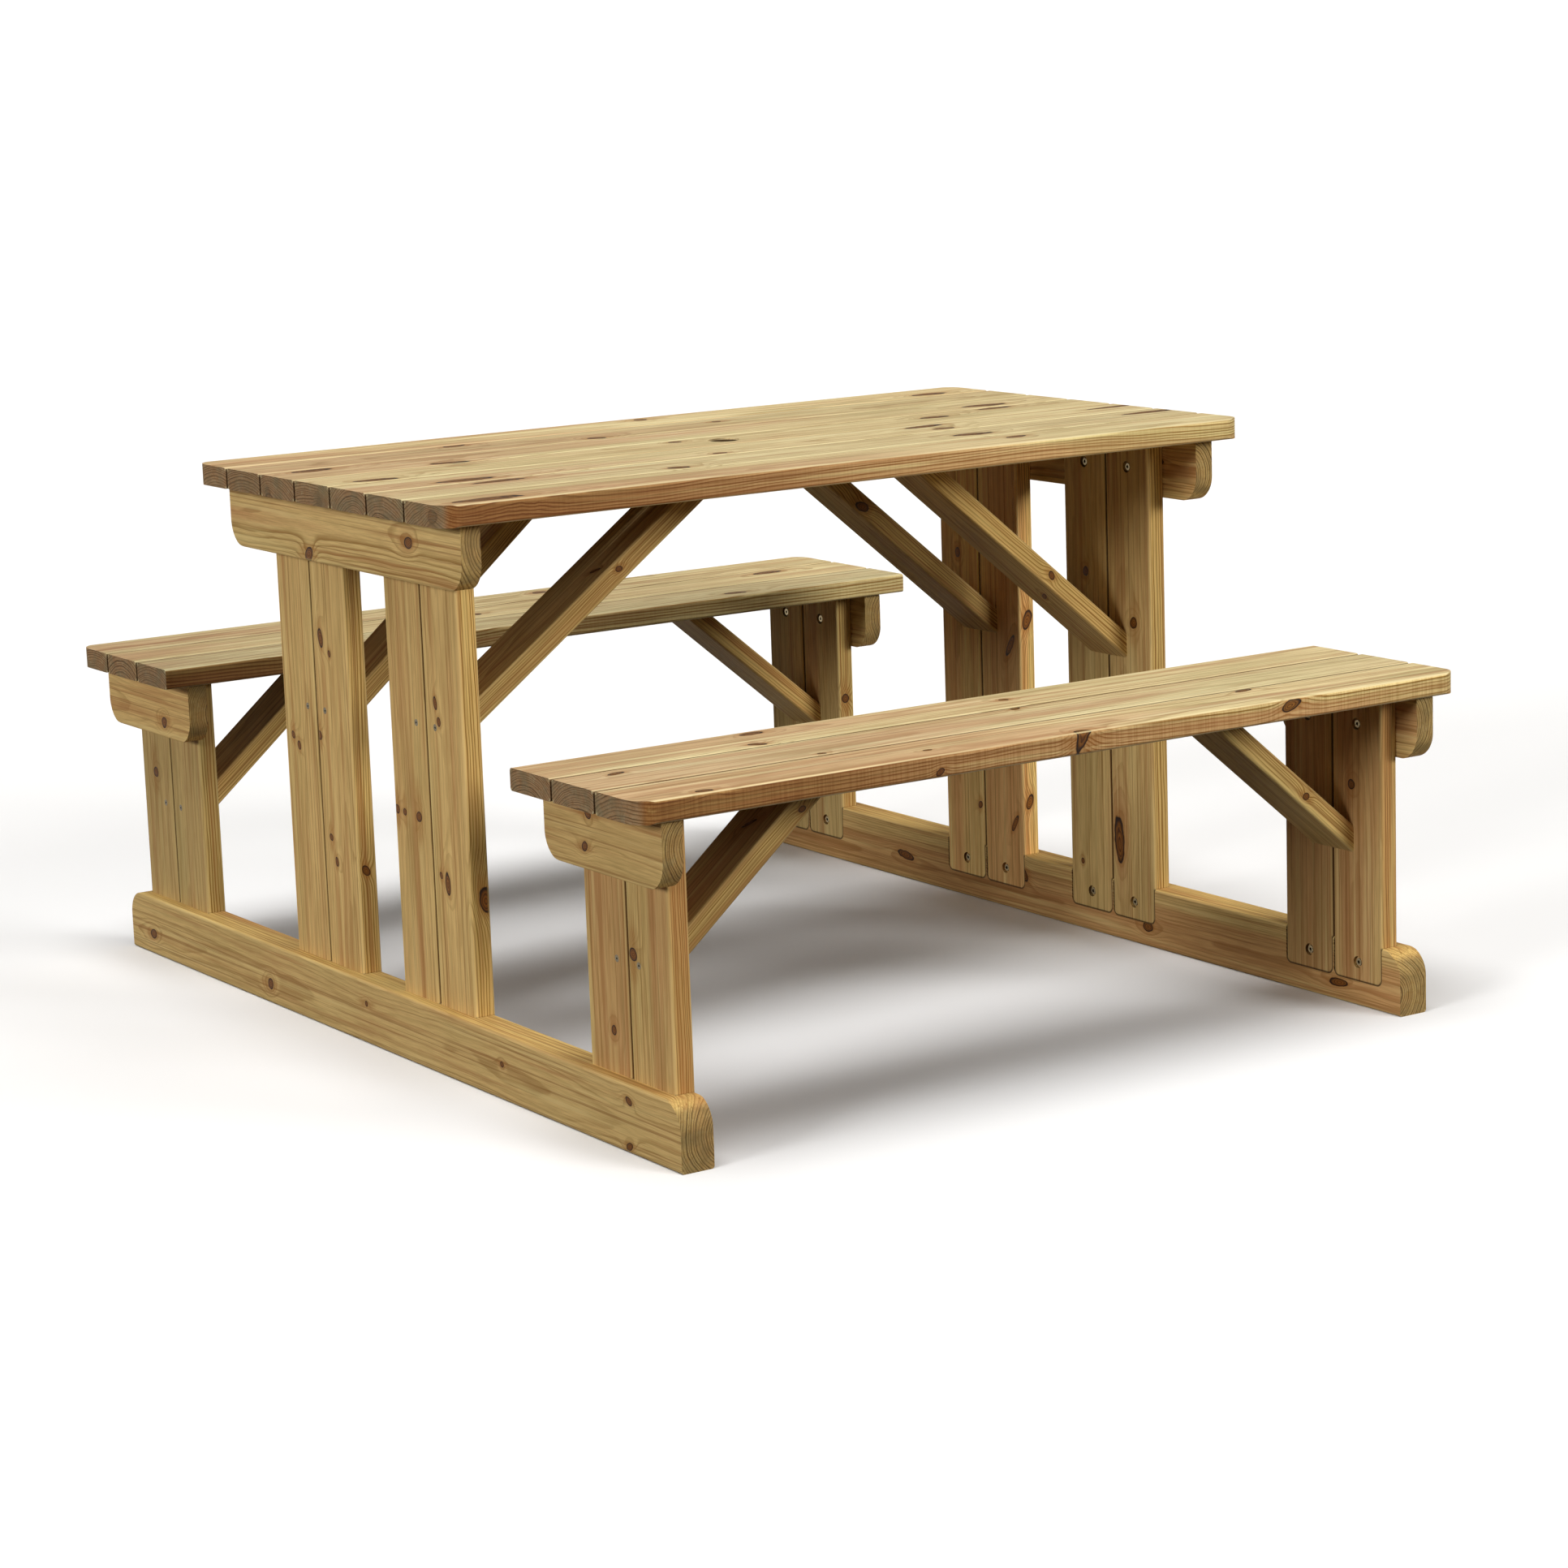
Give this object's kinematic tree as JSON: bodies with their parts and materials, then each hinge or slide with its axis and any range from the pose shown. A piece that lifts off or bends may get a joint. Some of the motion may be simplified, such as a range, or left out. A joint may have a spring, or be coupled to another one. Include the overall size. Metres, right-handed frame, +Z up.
{
  "type": "picnic table",
  "caption": "Heavy walk-in timber picnic table with a bench on each long side, ground rails under paired uprights, and a parasol hole through the tabletop.",
  "frame": {"origin": "on the ground under the centre of the tabletop", "axes": "+Z up, X along the boards, Y across the table from the front bench to the rear bench"},
  "size_m": [1.25, 1.55, 0.75],
  "materials": {
    "top_boards": "planed pressure-treated pine, dry and unpainted",
    "frame_timber": "planed pressure-treated pine, dry and unpainted",
    "zinc_steel": "zinc-plated steel, satin"
  },
  "bodies": {
    "root": {"ground_rail_left": "frame_timber", "ground_rail_right": "frame_timber", "seat_bearer_left_front": "frame_timber", "seat_bearer_left_rear": "frame_timber", "seat_bearer_right_front": "frame_timber", "seat_bearer_right_rear": "frame_timber", "seat_board_screws": "zinc_steel", "seat_brace_foot_screws": "zinc_steel", "seat_brace_head_screws": "zinc_steel", "seat_brace_left_front": "frame_timber", "seat_brace_left_rear": "frame_timber", "seat_brace_right_front": "frame_timber", "seat_brace_right_rear": "frame_timber", "seat_front_board_1": "top_boards", "seat_front_board_2": "top_boards", "seat_front_board_3": "top_boards", "seat_leg_foot_screws": "zinc_steel", "seat_leg_left_front_a": "frame_timber", "seat_leg_left_front_b": "frame_timber", "seat_leg_left_rear_a": "frame_timber", "seat_leg_left_rear_b": "frame_timber", "seat_leg_right_front_a": "frame_timber", "seat_leg_right_front_b": "frame_timber", "seat_leg_right_rear_a": "frame_timber", "seat_leg_right_rear_b": "frame_timber", "seat_leg_top_screws": "zinc_steel", "seat_rear_board_1": "top_boards", "seat_rear_board_2": "top_boards", "seat_rear_board_3": "top_boards", "table_bearer_left": "frame_timber", "table_bearer_right": "frame_timber", "table_brace_foot_screws": "zinc_steel", "table_brace_head_screws": "zinc_steel", "table_brace_left_front": "frame_timber", "table_brace_left_rear": "frame_timber", "table_brace_right_front": "frame_timber", "table_brace_right_rear": "frame_timber", "table_leg_foot_screws": "zinc_steel", "table_leg_left_front_a": "frame_timber", "table_leg_left_front_b": "frame_timber", "table_leg_left_rear_a": "frame_timber", "table_leg_left_rear_b": "frame_timber", "table_leg_right_front_a": "frame_timber", "table_leg_right_front_b": "frame_timber", "table_leg_right_rear_a": "frame_timber", "table_leg_right_rear_b": "frame_timber", "table_leg_top_screws": "zinc_steel", "tabletop_board_1": "top_boards", "tabletop_board_2": "top_boards", "tabletop_board_3": "top_boards", "tabletop_board_4": "top_boards", "tabletop_board_5": "top_boards", "tabletop_board_6": "top_boards", "tabletop_board_7": "top_boards", "tabletop_board_screws": "zinc_steel"}
  },
  "joints": []
}
